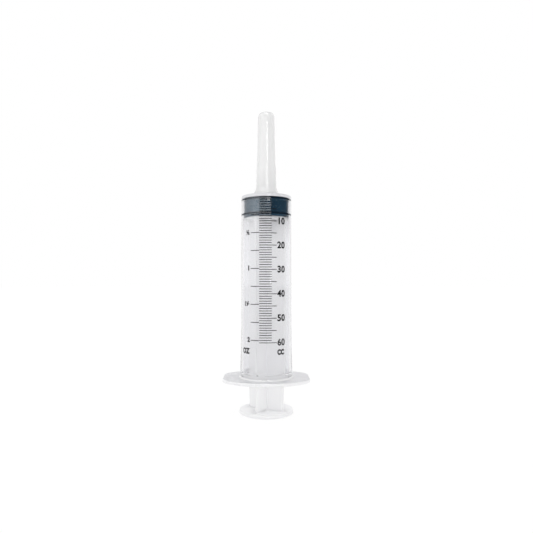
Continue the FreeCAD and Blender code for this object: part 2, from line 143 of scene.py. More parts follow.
# %% [markdown]
# ## The barrel
#
# The barrel is one clear moulding: a straight tube with a flat shoulder and a hollow catheter tip,
# a foot that swells a little, and a finger flange with two curved sides and two straight ends. It
# is turned in one closed loop, inside and outside together, because glass and clear plastic need a
# watertight wall to bend light well. The flange starts as a round disc in that loop. Its rim is
# then pushed in or out to the real outline, which keeps the whole barrel one clean mesh.

# %% Barrel section
RIDGE = FLANGE_BASE + 4.6 * MM
BORE_END = SHOULDER - 1.4 * MM
# The painted glow on the shoulder starts half a millimetre below the end of the bore.
SHOULDER_GLOW_START = BORE_END - 0.5 * MM


def barrel_section():
    """Corners of the barrel wall, from the mouth round the outside and back down the bore."""
    outside = [
        (BORE_RADIUS + 0.7 * MM, FLANGE_BASE, 0.3 * MM),
        (FLANGE_HALF_WIDTH, FLANGE_BASE, 0.9 * MM),
        (FLANGE_HALF_WIDTH, FLANGE_BASE + FLANGE_THICKNESS, 0.9 * MM),
        (FOOT_RADIUS, FLANGE_BASE + FLANGE_THICKNESS, 1.0 * MM),
        (TUBE_RADIUS, FLANGE_BASE + FLANGE_THICKNESS + 22.5 * MM, 9.0 * MM),
        (TUBE_RADIUS, SHOULDER_GLOW_START, 0),
        (TUBE_RADIUS, SHOULDER, 0.8 * MM),
    ]
    tip = [
        (5.3 * MM, SHOULDER, 0.6 * MM),
        (5.17 * MM, SHOULDER + 7.0 * MM, 1.0 * MM),
        (3.2 * MM, TIP_END, 0.5 * MM),
        (1.6 * MM, TIP_END, 0.2 * MM),
        (2.8 * MM, BORE_END, 0.4 * MM),
    ]
    bore = [
        (BORE_RADIUS, BORE_END, 0.5 * MM),
        (BORE_RADIUS, RIDGE + 0.9 * MM, 0.2 * MM),
        (BORE_RADIUS - 0.3 * MM, RIDGE + 0.25 * MM, 0.15 * MM),
        (BORE_RADIUS - 0.3 * MM, RIDGE - 0.25 * MM, 0.15 * MM),
        (BORE_RADIUS, RIDGE - 0.9 * MM, 0.2 * MM),
        (BORE_RADIUS, FLANGE_BASE + 2.6 * MM, 0.5 * MM),
    ]
    return outside + tip + bore


print("barrel corners", len(barrel_section()))

# %% [markdown]
# The outline of the flange is found one direction at a time. A ray from the axis meets the straight
# end, the rounded corner or the long curved side, and each of those is a line or a circle.

# %% Flange outline
END_HALF_DEPTH = 9.9 * MM
CORNER_RADIUS = 8.0 * MM
side_rise = FLANGE_HALF_DEPTH - END_HALF_DEPTH
side_radius = (FLANGE_HALF_WIDTH**2 + side_rise**2) / (2 * side_rise)
side_centre = Vector((0, FLANGE_HALF_DEPTH - side_radius))
corner_across = FLANGE_HALF_WIDTH - CORNER_RADIUS
corner_up = math.sqrt((side_radius - CORNER_RADIUS) ** 2 - corner_across**2) + side_centre.y
corner_centre = Vector((corner_across, corner_up))
to_corner = (corner_centre - side_centre).normalized()
side_start = side_centre + to_corner * side_radius
END_ANGLE = math.atan2(corner_up, FLANGE_HALF_WIDTH)
SIDE_ANGLE = math.atan2(side_start.y, side_start.x)


def reach_to_circle(direction, centre, radius):
    """How far a ray from the axis goes before it leaves a circle."""
    along = direction.dot(centre)
    return along + math.sqrt(along**2 - centre.length_squared + radius**2)


def flange_reach(angle):
    """Distance from the axis to the flange's outline in one direction."""
    across = abs(math.cos(angle))
    up = abs(math.sin(angle))
    folded = math.atan2(up, across)
    direction = Vector((across, up))
    if folded < END_ANGLE:
        return FLANGE_HALF_WIDTH / across
    if folded < SIDE_ANGLE:
        return reach_to_circle(direction, corner_centre, CORNER_RADIUS)
    return reach_to_circle(direction, side_centre, side_radius)


print(f"flange side radius {side_radius / MM:.1f} mm, end angle {math.degrees(END_ANGLE):.1f}")

# %% Barrel
CLEAR_OF_FOOT = FOOT_RADIUS + 2 * MM
barrel_solid = turned(barrel_section(), closed=True)
for vertex in barrel_solid.verts:
    spot = vertex.co.xy
    if spot.length > CLEAR_OF_FOOT:
        shift = flange_reach(math.atan2(spot.y, spot.x)) - FLANGE_HALF_WIDTH
        vertex.co.xy = spot + spot.normalized() * shift
barrel = as_object("barrel_clear", barrel_solid)
weigh_normals(barrel)
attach(barrel, "barrel")
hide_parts("barrel")
print("barrel faces", len(barrel.data.polygons))

# %% [markdown]
# ## The stopper
#
# The stopper is moulded rubber with a sealing rib at each end of a narrower waist. Where a rib
# presses on the wall, no air is left between them, so the rib looks as wide as the whole barrel.
# The ribs here bite a hair into the wall, which gives the same wet look without a special material.

# %% Stopper
SEAL_RADIUS = BORE_RADIUS + 0.025 * MM
stopper_base = stopper_low.z
stopper_top = stopper_high.z
stopper_corners = [
    (0, stopper_base + 7.35 * MM, 0),
    (4.55 * MM, stopper_base + 7.35 * MM, 0.4 * MM),
    (8.55 * MM, stopper_base + 4.8 * MM, 0.3 * MM),
    (8.55 * MM, stopper_base + 2.3 * MM, 0.2 * MM),
    (5.55 * MM, stopper_base + 2.3 * MM, 0.2 * MM),
    (5.55 * MM, stopper_base, 0.2 * MM),
    (14.4 * MM, stopper_base, 0.3 * MM),
    (14.4 * MM, stopper_base + 1.0 * MM, 0.2 * MM),
    (SEAL_RADIUS, stopper_base + 1.3 * MM, 0.3 * MM),
    (SEAL_RADIUS, stopper_base + 2.5 * MM, 0.3 * MM),
    (14.2 * MM, stopper_base + 2.9 * MM, 0.2 * MM),
    (14.2 * MM, stopper_top - 1.9 * MM, 0.2 * MM),
    (SEAL_RADIUS, stopper_top - 1.5 * MM, 0.3 * MM),
    (SEAL_RADIUS, stopper_top - 0.4 * MM, 0.3 * MM),
    (14.1 * MM, stopper_top, 0.3 * MM),
    (0, stopper_top, 0),
]
stopper = as_object("stopper_rubber", turned(stopper_corners))
weigh_normals(stopper)
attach(stopper, "stopper")
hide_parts("stopper")
print("stopper faces", len(stopper.data.polygons))

# %% [markdown]
# ## The plunger rod
#
# The rod is a cross of four thin ribs between a round thumb rest and a carrier disc, with a snap
# head on top that holds the stopper. The cross starts as a small square: its four sides are drawn
# out into arms, the arms are drawn upwards in two lengths, and the lower ends are pulled in, since
# the real ribs narrow towards the thumb rest. The turned ends are then joined to it by a boolean.

# %% Rod sizes
RIB_HALF_THICKNESS = 0.8 * MM
RIB_HALF_SPAN = 13.45 * MM
RIB_FOOT_HALF_SPAN = 11.9 * MM
REST_THICKNESS = 2.4 * MM
RIB_TAPER_TOP = REST_THICKNESS + 33.0 * MM
REST_RADIUS = rod_high.x
CARRIER_TOP = 123.35 * MM
CARRIER_BASE = CARRIER_TOP - 1.5 * MM
ROD_TURN = math.radians(-30)
SUNK = 0.4 * MM
ROOT_ROUND = 0.8 * MM
END_ROUND = 0.35 * MM
print(f"ribs run from {REST_THICKNESS / MM:.1f} to {CARRIER_BASE / MM:.1f} mm")


# %% Crossed ribs
def draw_up(solid, height):
    """Extrude the topmost faces to a height."""
    top = max(face.calc_center_median().z for face in solid.faces)
    lids = [
        face for face in solid.faces
        if abs(face.calc_center_median().z - top) < ON_AXIS and abs(face.normal.z) > 0.5
    ]
    grown = bmesh.ops.extrude_face_region(solid, geom=lids)
    moved = [item for item in grown["geom"] if isinstance(item, bmesh.types.BMVert)]
    bmesh.ops.translate(solid, verts=moved, vec=(0, 0, height - top))
    bmesh.ops.delete(solid, geom=lids, context="FACES_ONLY")


def crossed_ribs():
    """A cross of four ribs that narrow towards their foot."""
    cross = bmesh.new()
    bmesh.ops.create_grid(cross, x_segments=1, y_segments=1, size=RIB_HALF_THICKNESS)
    bmesh.ops.translate(cross, verts=cross.verts[:], vec=(0, 0, REST_THICKNESS - SUNK))
    for side in cross.edges[:]:
        middle = (side.verts[0].co + side.verts[1].co) / 2
        outward = Vector((middle.x, middle.y, 0)).normalized()
        arm = bmesh.ops.extrude_edge_only(cross, edges=[side])
        tips = [item for item in arm["geom"] if isinstance(item, bmesh.types.BMVert)]
        bmesh.ops.translate(cross, verts=tips, vec=outward * (RIB_HALF_SPAN - RIB_HALF_THICKNESS))
    floor_faces = cross.faces[:]
    grown = bmesh.ops.extrude_face_region(cross, geom=floor_faces)
    first_top = [item for item in grown["geom"] if isinstance(item, bmesh.types.BMVert)]
    bmesh.ops.translate(cross, verts=first_top, vec=(0, 0, RIB_TAPER_TOP - REST_THICKNESS + SUNK))
    cross.normal_update()
    draw_up(cross, CARRIER_BASE + SUNK)
    bmesh.ops.recalc_face_normals(cross, faces=cross.faces[:])
    return cross


def upright_edges(solid, spread):
    """Vertical edges at a distance from the axis."""
    return [
        edge for edge in solid.edges
        if (edge.verts[0].co - edge.verts[1].co).xy.length < ON_AXIS
        and abs(edge.verts[0].co.xy.length - spread) < ON_AXIS
    ]


ribs_solid = crossed_ribs()
root_spread = math.hypot(RIB_HALF_THICKNESS, RIB_HALF_THICKNESS)
end_spread = math.hypot(RIB_HALF_SPAN, RIB_HALF_THICKNESS)
for spread, rounding in ((root_spread, ROOT_ROUND), (end_spread, END_ROUND)):
    bmesh.ops.bevel(
        ribs_solid, geom=upright_edges(ribs_solid, spread), offset=rounding,
        offset_type="OFFSET", affect="EDGES", segments=4, profile=0.5, material=-1,
    )
foot_share = RIB_FOOT_HALF_SPAN / RIB_HALF_SPAN
for vertex in ribs_solid.verts:
    if vertex.co.z < REST_THICKNESS:
        for axis in (0, 1):
            if abs(vertex.co[axis]) > RIB_FOOT_HALF_SPAN:
                vertex.co[axis] *= foot_share
bmesh.ops.rotate(ribs_solid, verts=ribs_solid.verts[:], matrix=Matrix.Rotation(ROD_TURN, 3, "Z"))
ribs = as_object("crossed_ribs", ribs_solid)
print("rib faces", len(ribs.data.polygons))

# %% [markdown]
# The thumb rest, and the disc and snap head that carry the stopper, are turned like the barrel. A
# disc under the stopper spreads the push of the hand, and the wide head above the neck clicks into
# the socket of the rubber, so that the stopper comes back with the rod.

# %% Thumb rest and snap head
thumb_rest = as_object("thumb_rest", turned([
    (0, 0, 0),
    (REST_RADIUS, 0, 0.9 * MM),
    (REST_RADIUS, REST_THICKNESS, 0.9 * MM),
    (0, REST_THICKNESS, 0),
]))
snap_head = as_object("snap_head", turned([
    (0, CARRIER_BASE, 0),
    (13.8 * MM, CARRIER_BASE, 0.3 * MM),
    (13.8 * MM, CARRIER_TOP, 0.4 * MM),
    (5.5 * MM, CARRIER_TOP, 0.3 * MM),
    (5.5 * MM, CARRIER_TOP + 2.4 * MM, 0.2 * MM),
    (8.5 * MM, CARRIER_TOP + 2.4 * MM, 0.3 * MM),
    (8.5 * MM, CARRIER_TOP + 4.8 * MM, 0.3 * MM),
    (4.5 * MM, rod_high.z, 0.4 * MM),
    (0, rod_high.z, 0),
]))
print("rest and head faces", len(thumb_rest.data.polygons), len(snap_head.data.polygons))

# %% [markdown]
# The real rod comes out of one mould, so the three shapes must not show where they meet. They
# overlap by 0.4 mm, and an exact boolean union leaves a single skin with no walls inside it. That
# matters here, because light that enters a white plastic would stop at a hidden wall.


# %% Joining the rod
def joined(name, first, others):
    """One watertight mesh from overlapping solids."""
    for other in others:
        union = first.modifiers.new(f"join {other.name}", "BOOLEAN")
        union.operation = "UNION"
        union.solver = "EXACT"
        union.object = other
    graph = bpy.context.evaluated_depsgraph_get()
    graph.update()
    mesh = bpy.data.meshes.new_from_object(first.evaluated_get(graph))
    mesh.name = name
    for used in (first, *others):
        bpy.data.objects.remove(used)
    piece = bpy.data.objects.new(name, mesh)
    bpy.context.scene.collection.objects.link(piece)
    return piece


plunger = joined("plunger_rod_white", ribs, (thumb_rest, snap_head))
weigh_normals(plunger)
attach(plunger, "plunger")
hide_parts("plunger_rod")
print("rod faces", len(plunger.data.polygons))

# %% [markdown]
# ## The cap
#
# The cap is a long closed tube that is pushed over the catheter tip. Its wall tapers, steps in a
# little about a third of the way up, and flares into a lip at the shoulder. It is hollow, because
# thin white plastic lets light through and a solid one would look like chalk.

# %% Cap
cap_base = cap_low.z
cap_top = cap_high.z
cap = as_object("tip_cap_white", turned([
    (0, cap_top, 0),
    (5.25 * MM, cap_top, 2.9 * MM),
    (6.0 * MM, cap_base + 19.8 * MM, 0.8 * MM),
    (6.275 * MM, cap_base + 17.4 * MM, 0.8 * MM),
    (6.525 * MM, cap_base + 4.9 * MM, 1.6 * MM),
    (7.9 * MM, cap_base + 1.9 * MM, 0.9 * MM),
    (7.9 * MM, cap_base, 0.35 * MM),
    (5.33 * MM, cap_base, 0.4 * MM),
    (4.25 * MM, cap_top - 2.2 * MM, 1.9 * MM),
    (0, cap_top - 2.2 * MM, 0),
]))
weigh_normals(cap)
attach(cap, "cap")
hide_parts("tip_cap")
print("cap faces", len(cap.data.polygons))

# %% [markdown]
# ## The printed scale
#
# The scale is a thin skin of ink on the outside of the tube. Lines start as small cubes and words
# start as text, all laid out flat in millimetres as if the barrel were unrolled. Both are cut into
# narrow upright strips with bisect_plane, and then rolled onto the tube: the distance across
# becomes an angle. Without the strips a wide letter would cut a straight chord through the wall.

# %% Rolling flat work onto the barrel
INK_GAP = 0.02 * MM
INK_THICKNESS = 0.06 * MM
STRIP = 0.5 * MM
FRONT = -math.pi / 2
ZERO_LINE = stopper_top - 0.7 * MM
MILLILITRE = 1000 * MM**3 / (math.pi * BORE_RADIUS**2)


def arc(degrees):
    """Distance along the tube's surface for an angle from the front."""
    return math.radians(degrees) * TUBE_RADIUS


def cut_into_strips(flat):
    """Slice flat work every half millimetre so that it can bend."""
    across = [vertex.co.x for vertex in flat.verts]
    count = int((max(across) - min(across)) / STRIP)
    for index in range(1, count + 1):
        bmesh.ops.bisect_plane(
            flat, geom=flat.verts[:] + flat.edges[:] + flat.faces[:], dist=ON_AXIS,
            plane_co=(min(across) + index * STRIP, 0, 0), plane_no=(1, 0, 0),
        )


def roll_onto_tube(flat):
    """Bend flat work, drawn in X and Z with its depth in Y, round the outside of the tube."""
    cut_into_strips(flat)
    for vertex in flat.verts:
        angle = FRONT + vertex.co.x / TUBE_RADIUS
        radius = TUBE_RADIUS + INK_GAP + vertex.co.y
        vertex.co.x = radius * math.cos(angle)
        vertex.co.y = radius * math.sin(angle)
    bmesh.ops.recalc_face_normals(flat, faces=flat.faces[:])


print(f"one millilitre is {MILLILITRE / MM:.3f} mm of travel")

# %% [markdown]
# The lines are bars of one width. Every fifth millilitre line is longer, and the fluid ounce lines
# stand apart on the left, a quarter of an ounce from one to the next. Their spacing isn't measured:
# it is the volume of the bore, so a scale for another bore would come out right as well.

# %% Scale lines
LINE_WIDTH = 0.42 * MM


def add_line(flat, left, right, level):
    """One thin bar of ink from a left to a right edge."""
    middle = Vector(((left + right) / 2, INK_THICKNESS / 2, level))
    size = Matrix.Diagonal((right - left, INK_THICKNESS, LINE_WIDTH, 1))
    bmesh.ops.create_cube(flat, size=1, matrix=Matrix.Translation(middle) @ size)


def level_of(millilitres):
    """Height of a volume on the scale."""
    return ZERO_LINE - millilitres * MILLILITRE


LEFT, SHORT_RIGHT, LONG_RIGHT = arc(-15.6), arc(11.9), arc(23.2)
OUNCE_LEFT, OUNCE_RIGHT = arc(-36.4), arc(-16.1)
CAPACITY_ML = 60
ML_PER_LONG_LINE = 5
ML_PER_OUNCE = 29.5735
QUARTERS = 4
OUNCES = 2

ml_flat = bmesh.new()
for millilitre in range(CAPACITY_ML + 1):
    right = SHORT_RIGHT if millilitre % ML_PER_LONG_LINE else LONG_RIGHT
    add_line(ml_flat, LEFT, right, level_of(millilitre))
roll_onto_tube(ml_flat)
ml_lines = as_object("ml_lines_ink", ml_flat)

oz_flat = bmesh.new()
for quarter in range(1, OUNCES * QUARTERS + 1):
    add_line(oz_flat, OUNCE_LEFT, OUNCE_RIGHT, level_of(quarter * ML_PER_OUNCE / QUARTERS))
roll_onto_tube(oz_flat)
oz_lines = as_object("oz_lines_ink", oz_flat)

for lines, node in ((ml_lines, "ml_scale_lines"), (oz_lines, "oz_scale_lines")):
    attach(lines, "barrel")
    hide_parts(node)
print("line faces", len(ml_lines.data.polygons), len(oz_lines.data.polygons))

# %% [markdown]
# A volume is read off the numbers, so they are bold, with rather narrow letters. Blender's own
# sans serif is close in shape. A small offset thickens its strokes to what a screen prints, and
# each word is scaled to the height that its ink has on the tube. The text becomes a mesh first,
# gets the thickness of the ink, and is rolled on like the lines.

# %% Numbers and unit marks
LETTER_SPACING = 1.06
CURVE_STEPS = 4
FLAT_ANGLE = 0.001


def add_words(flat, words, height, narrowing, bold, side, edge, level):
    """Plain lettering of a real height, with its left or right side on an edge."""
    curve = bpy.data.curves.new(f"words {words}", "FONT")
    curve.body = words
    curve.align_x = side
    curve.offset = bold
    curve.space_character = LETTER_SPACING
    curve.resolution_u = CURVE_STEPS
    holder = bpy.data.objects.new(curve.name, curve)
    bpy.context.scene.collection.objects.link(holder)
    graph = bpy.context.evaluated_depsgraph_get()
    mesh = bpy.data.meshes.new_from_object(holder.evaluated_get(graph))
    letters = bmesh.new()
    letters.from_mesh(mesh)
    bmesh.ops.dissolve_limit(
        letters, angle_limit=FLAT_ANGLE, verts=letters.verts[:], edges=letters.edges[:]
    )
    tops = [vertex.co.y for vertex in letters.verts]
    middle = (max(tops) + min(tops)) / 2
    scale = height / (max(tops) - min(tops))
    for vertex in letters.verts:
        across, up = vertex.co.x, vertex.co.y
        vertex.co = (edge + across * scale * narrowing, 0, level + (up - middle) * scale)
    grown = bmesh.ops.extrude_face_region(letters, geom=letters.faces[:])
    raised = [item for item in grown["geom"] if isinstance(item, bmesh.types.BMVert)]
    bmesh.ops.translate(letters, verts=raised, vec=(0, INK_THICKNESS, 0))
    letters.to_mesh(mesh)
    letters.free()
    flat.from_mesh(mesh)
    bpy.data.meshes.remove(mesh)
    bpy.data.objects.remove(holder)
    bpy.data.curves.remove(curve)


WORDS_LEFT = arc(24.9)
WORDS_RIGHT = arc(-39.2)
UNIT_RIGHT = arc(-40.5)
ML_PER_NUMBER = 10
NUMBER_RISE = 0.2 * MM
OUNCE_RISE = 0.3 * MM
UNIT_LEVEL = level_of(CAPACITY_ML) - 5.8 * MM
words_flat = bmesh.new()
for millilitre in range(ML_PER_NUMBER, CAPACITY_ML + 1, ML_PER_NUMBER):
    level = level_of(millilitre) + NUMBER_RISE
    add_words(words_flat, str(millilitre), 4.3 * MM, 0.97, 0.036, "LEFT", WORDS_LEFT, level)
for words, ounces, bold in (
    ("½", 0.5, 0.04), ("1", 1, 0.065), ("1½", 1.5, 0.045), ("2", 2, 0.065),
):
    level = level_of(ounces * ML_PER_OUNCE) + OUNCE_RISE
    add_words(words_flat, words, 3.1 * MM, 0.95, bold, "RIGHT", WORDS_RIGHT, level)
add_words(words_flat, "CC", 3.5 * MM, 0.8, 0.07, "LEFT", WORDS_LEFT, UNIT_LEVEL)
add_words(words_flat, "OZ", 3.7 * MM, 0.9, 0.065, "RIGHT", UNIT_RIGHT, UNIT_LEVEL + 0.4 * MM)
roll_onto_tube(words_flat)
numbers = as_object("numbers_ink", words_flat)
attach(numbers, "barrel")
print("number faces", len(numbers.data.polygons))

# %% [markdown]
# ## Material helpers
#
# Colours are picked as sRGB hex values, the way they look on a screen, and Blender wants linear
# light, so one function turns them. Another adds a node, sets its values and links its inputs. The
# scale of each pattern is worked out from a real size in millimetres.

# %% Colour and nodes
SRGB_KNEE = 0.04045


def linear(hex_colour):
    """Linear RGBA for an sRGB hex colour."""
    channels = [int(hex_colour[start:start + 2], 16) / 255 for start in (1, 3, 5)]
    lit = [
        value / 12.92 if value <= SRGB_KNEE else ((value + 0.055) / 1.055) ** 2.4
        for value in channels
    ]
    return (*lit, 1)


def add_node(tree, kind, inputs=None, **settings):
    """Add a node, set its properties and fill its inputs with values or links."""
    node = tree.nodes.new(kind)
    for name, value in settings.items():
        setattr(node, name, value)
    for name, value in (inputs or {}).items():
        if isinstance(value, bpy.types.NodeSocket):
            tree.links.new(value, node.inputs[name])
        else:
            node.inputs[name].default_value = value
    return node


def new_material(name):
    """An empty node material with only its output."""
    material = bpy.data.materials.new(name)
    material.use_nodes = True
    tree = material.node_tree
    tree.nodes.clear()
    output = tree.nodes.new("ShaderNodeOutputMaterial")
    return material, tree, output


def waves_per_metre(millimetres):
    """Noise scale whose features are a real size apart."""
    return 1 / (millimetres * MM)


print("mid grey in linear light", [round(value, 3) for value in linear("#808080")])

# %% [markdown]
# ## Clear polypropylene
#
# The barrel is injection moulded polypropylene. The tube is polished, and the finger flange has a
# fine mould texture that makes it look milky. Where the plastic is thick, at the rim, the foot and
# the shoulder, it glows with the light that it scatters, and that glow is painted here: those faces
# get whiter, less clear copies of the plastic. So the barrel gets five materials. The plastic
# swallows a little light on the way, which shows where one looks along the wall: that is what the
# absorbing volume is for. Light that reaches the white rod passes straight through, because shadow
# and diffuse rays meet a transparent shader instead of the refracting one.

# %% Barrel materials
FLOW_MM = 9
GLOSS_SPREAD = 0.3


def light_only(tree):
    """1 for the shadow and diffuse rays that carry light, 0 for the rays that see."""
    path = add_node(tree, "ShaderNodeLightPath")
    return add_node(tree, "ShaderNodeMath", {
        0: path.outputs["Is Shadow Ray"], 1: path.outputs["Is Diffuse Ray"],
    }, operation="MAXIMUM").outputs["Value"]


def let_light_through(tree, plastic, share):
    """A plastic that a share of the light passes, while the eye still meets all of it."""
    passed = add_node(tree, "ShaderNodeMath", {0: light_only(tree), 1: share}, operation="MULTIPLY")
    clear = add_node(tree, "ShaderNodeBsdfTransparent")
    return add_node(tree, "ShaderNodeMixShader", {
        "Fac": passed.outputs["Value"], 1: plastic.outputs["BSDF"], 2: clear.outputs["BSDF"],
    }).outputs["Shader"]


def clear_moulding(name, colour, roughness, transmission):
    """Polypropylene with a slow unevenness in its gloss."""
    material, tree, output = new_material(name)
    place = add_node(tree, "ShaderNodeTexCoord").outputs["Object"]
    flow = add_node(tree, "ShaderNodeTexNoise", {
        "Vector": place, "Scale": waves_per_metre(FLOW_MM), "Detail": 1.5,
    })
    haze = add_node(tree, "ShaderNodeMapRange", {
        "Value": flow.outputs["Fac"],
        "To Min": roughness * (1 - GLOSS_SPREAD), "To Max": roughness * (1 + GLOSS_SPREAD),
    })
    plastic = add_node(tree, "ShaderNodeBsdfPrincipled", {
        "Base Color": linear(colour), "Roughness": haze.outputs["Result"], "IOR": 1.49,
        "Transmission Weight": transmission,
    })
    tree.links.new(let_light_through(tree, plastic, 1.0), output.inputs["Surface"])
    depth = add_node(tree, "ShaderNodeVolumeAbsorption", {
        "Color": linear("#BCBCBC"), "Density": 8.0,
    })
    tree.links.new(depth.outputs["Volume"], output.inputs["Volume"])
    return material


POLISHED, TEXTURED, PAINTED_RIM_GLOW, PAINTED_SHOULDER_GLOW, PAINTED_FOOT_GLOW = range(5)
for look in (
    clear_moulding("clear polished polypropylene", "#F0F0F2", 0.04, 1.0),
    clear_moulding("clear textured polypropylene", "#EBEBEE", 0.36, 0.6),
    # Rim, shoulder and foot: whiter, less clear copies of the plastic, a painted glow for scattered
    # light.
    clear_moulding("clear polypropylene with painted rim glow", "#FDFDFE", 0.3, 0.05),
    clear_moulding("clear polypropylene with painted shoulder glow", "#EBEBEE", 0.3, 0.1),
    clear_moulding("clear polypropylene with painted foot glow", "#FAFAFC", 0.3, 0.4),
):
    barrel.data.materials.append(look)
FLANGE_TOP = FLANGE_BASE + FLANGE_THICKNESS
FILLET_TOP = FLANGE_TOP + 1.1 * MM
FOOT_TOP = FLANGE_TOP + 3.6 * MM
LEVEL_SLACK = 0.1 * MM
CLEAR_OF_TIP = 6 * MM
LYING = 0.8
# The flange rim, the fillet over it, the foot band and the shoulder take the painted glow.
for face in barrel.data.polygons:
    middle = face.center
    radius = middle.xy.length
    if middle.z < FLANGE_TOP + LEVEL_SLACK:
        rim = abs(face.normal.z) < LYING and radius > CLEAR_OF_FOOT
        face.material_index = PAINTED_RIM_GLOW if rim else TEXTURED
    elif middle.z < FILLET_TOP and radius > FOOT_RADIUS:
        face.material_index = PAINTED_RIM_GLOW
    elif middle.z < FOOT_TOP:
        face.material_index = PAINTED_FOOT_GLOW
    elif SHOULDER_GLOW_START < middle.z < SHOULDER + LEVEL_SLACK and radius > CLEAR_OF_TIP:
        face.material_index = PAINTED_SHOULDER_GLOW
print("barrel materials", [look.name for look in barrel.data.materials])

# %% [markdown]
# ## White mouldings
#
# The plunger rod and the cap are natural white plastics that light enters for a millimetre or two.
# Subsurface scattering gives the soft, slightly glowing edges. The rod's ribs are so thin that part
# of the light goes straight through them, so its shadow and diffuse rays meet a little of the
# transparent shader, which keeps the corners between the ribs pale. The moulds are lightly
# textured, so the gloss is uneven and a fine grain breaks up the reflections. The real grain is far
# finer than a pixel, so it is drawn about a millimetre wide here, which lets it show.

# %% Rod and cap materials
CLOUD_MM = 14
GRAIN_GLOSS = 0.05
GRAIN_DEPTH_MM = 0.02


def white_moulding(name, colour, shade, roughness, grain_mm, depth_mm, thinness):
    """A translucent white plastic with uneven gloss and faint cloudiness."""
    material, tree, output = new_material(name)
    place = add_node(tree, "ShaderNodeTexCoord").outputs["Object"]
    clouds = add_node(tree, "ShaderNodeTexNoise", {
        "Vector": place, "Scale": waves_per_metre(CLOUD_MM), "Detail": 2.0,
    })
    tint = add_node(tree, "ShaderNodeMix", {
        "Factor": clouds.outputs["Fac"], "A": linear(colour), "B": linear(shade),
    }, data_type="RGBA")
    grain = add_node(tree, "ShaderNodeTexNoise", {
        "Vector": place, "Scale": waves_per_metre(grain_mm), "Detail": 3.0,
    })
    gloss = add_node(tree, "ShaderNodeMapRange", {
        "Value": grain.outputs["Fac"],
        "To Min": roughness - GRAIN_GLOSS, "To Max": roughness + GRAIN_GLOSS,
    })
    relief = add_node(tree, "ShaderNodeBump", {
        "Height": grain.outputs["Fac"], "Strength": 0.1, "Distance": GRAIN_DEPTH_MM * MM,
    })
    plastic = add_node(tree, "ShaderNodeBsdfPrincipled", {
        "Base Color": tint.outputs["Result"], "Roughness": gloss.outputs["Result"], "IOR": 1.5,
        "Subsurface Weight": 1.0, "Subsurface Radius": (1.0, 1.0, 1.0),
        "Subsurface Scale": depth_mm * MM, "Normal": relief.outputs["Normal"],
    })
    tree.links.new(let_light_through(tree, plastic, thinness), output.inputs["Surface"])
    return material


white_pp = white_moulding(
    "white moulded polypropylene", "#F6F6F9", "#F2F2F5",
    roughness=0.34, grain_mm=1.2, depth_mm=3.0, thinness=0.8,
)
white_pe = white_moulding(
    "white moulded polyethylene", "#FAFAFC", "#F6F6F9",
    roughness=0.16, grain_mm=0.9, depth_mm=1.0, thinness=0.0,
)
plunger.data.materials.clear()
plunger.data.materials.append(white_pp)
cap.data.materials.append(white_pe)
print("rod and cap in", white_pp.name, "and", white_pe.name)

# %% [markdown]
# ## Stopper rubber
#
# Butyl rubber for syringes is moulded smooth and carries a film of silicone oil. Where a sealing
# rib is pressed on the wall it looks wet and nearly black, and the waist, with air in front of it,
# is a paler slate blue. So the ribs get a darker material with no gloss of their own. The film is
# thicker in some places than in others, which the blotches in its gloss stand for. The gloss of the
# rubber carries a painted blue tint: its reflections are coloured blue.

# %% Rubber
def butyl(name, colour, shade, specular):
    """Smooth dark rubber under a film of oil, with a painted blue tint in its reflections."""
    material, tree, output = new_material(name)
    place = add_node(tree, "ShaderNodeTexCoord").outputs["Object"]
    blotches = add_node(tree, "ShaderNodeTexNoise", {
        "Vector": place, "Scale": waves_per_metre(5), "Detail": 2.0,
    })
    tint = add_node(tree, "ShaderNodeMix", {
        "Factor": blotches.outputs["Fac"], "A": linear(colour), "B": linear(shade),
    }, data_type="RGBA")
    film = add_node(tree, "ShaderNodeMapRange", {
        "Value": blotches.outputs["Fac"], "To Min": 0.1, "To Max": 0.18,
    })
    # Specular Tint paints a blue tint into the rubber's reflections.
    shader = add_node(tree, "ShaderNodeBsdfPrincipled", {
        "Base Color": tint.outputs["Result"], "Roughness": film.outputs["Result"], "IOR": 1.52,
        "Specular IOR Level": specular, "Specular Tint": (0.4, 0.8, 1.0, 1.0),
    })
    tree.links.new(shader.outputs["BSDF"], output.inputs["Surface"])
    return material


stopper.data.materials.append(butyl("oiled butyl rubber", "#15394F", "#0F2E40", 0.45))
stopper.data.materials.append(butyl("butyl rubber pressed on the wall", "#082030", "#051A28", 0.0))
for face in stopper.data.polygons:
    face.material_index = int(face.center.xy.length > SEAL_RADIUS - LEVEL_SLACK)
print("stopper materials", [look.name for look in stopper.data.materials])

# %% [markdown]
# ## Ink
#
# The scale is screen printed and cured. The film is nearly black and thin, and the squeegee leaves
# it a little uneven in colour and gloss. Cured ink is rough, so it has hardly any highlight,
# and the lines stay dark where the barrel behind them shines.

# %% Ink
ink, tree, output = new_material("cured screen ink")
place = add_node(tree, "ShaderNodeTexCoord").outputs["Object"]
squeegee = add_node(tree, "ShaderNodeTexNoise", {
    "Vector": place, "Scale": waves_per_metre(1.5), "Detail": 2.0,
})
tint = add_node(tree, "ShaderNodeMix", {
    "Factor": squeegee.outputs["Fac"], "A": linear("#07080A"), "B": linear("#101114"),
}, data_type="RGBA")
cure = add_node(tree, "ShaderNodeMapRange", {
    "Value": squeegee.outputs["Fac"], "To Min": 0.36, "To Max": 0.52,
})
shader = add_node(tree, "ShaderNodeBsdfPrincipled", {
    "Base Color": tint.outputs["Result"], "Roughness": cure.outputs["Result"], "IOR": 1.5,
    "Specular IOR Level": 0.1,
})
tree.links.new(shader.outputs["BSDF"], output.inputs["Surface"])
for printed in (ml_lines, oz_lines, numbers):
    printed.data.materials.append(ink)
print("printed in", ink.name)

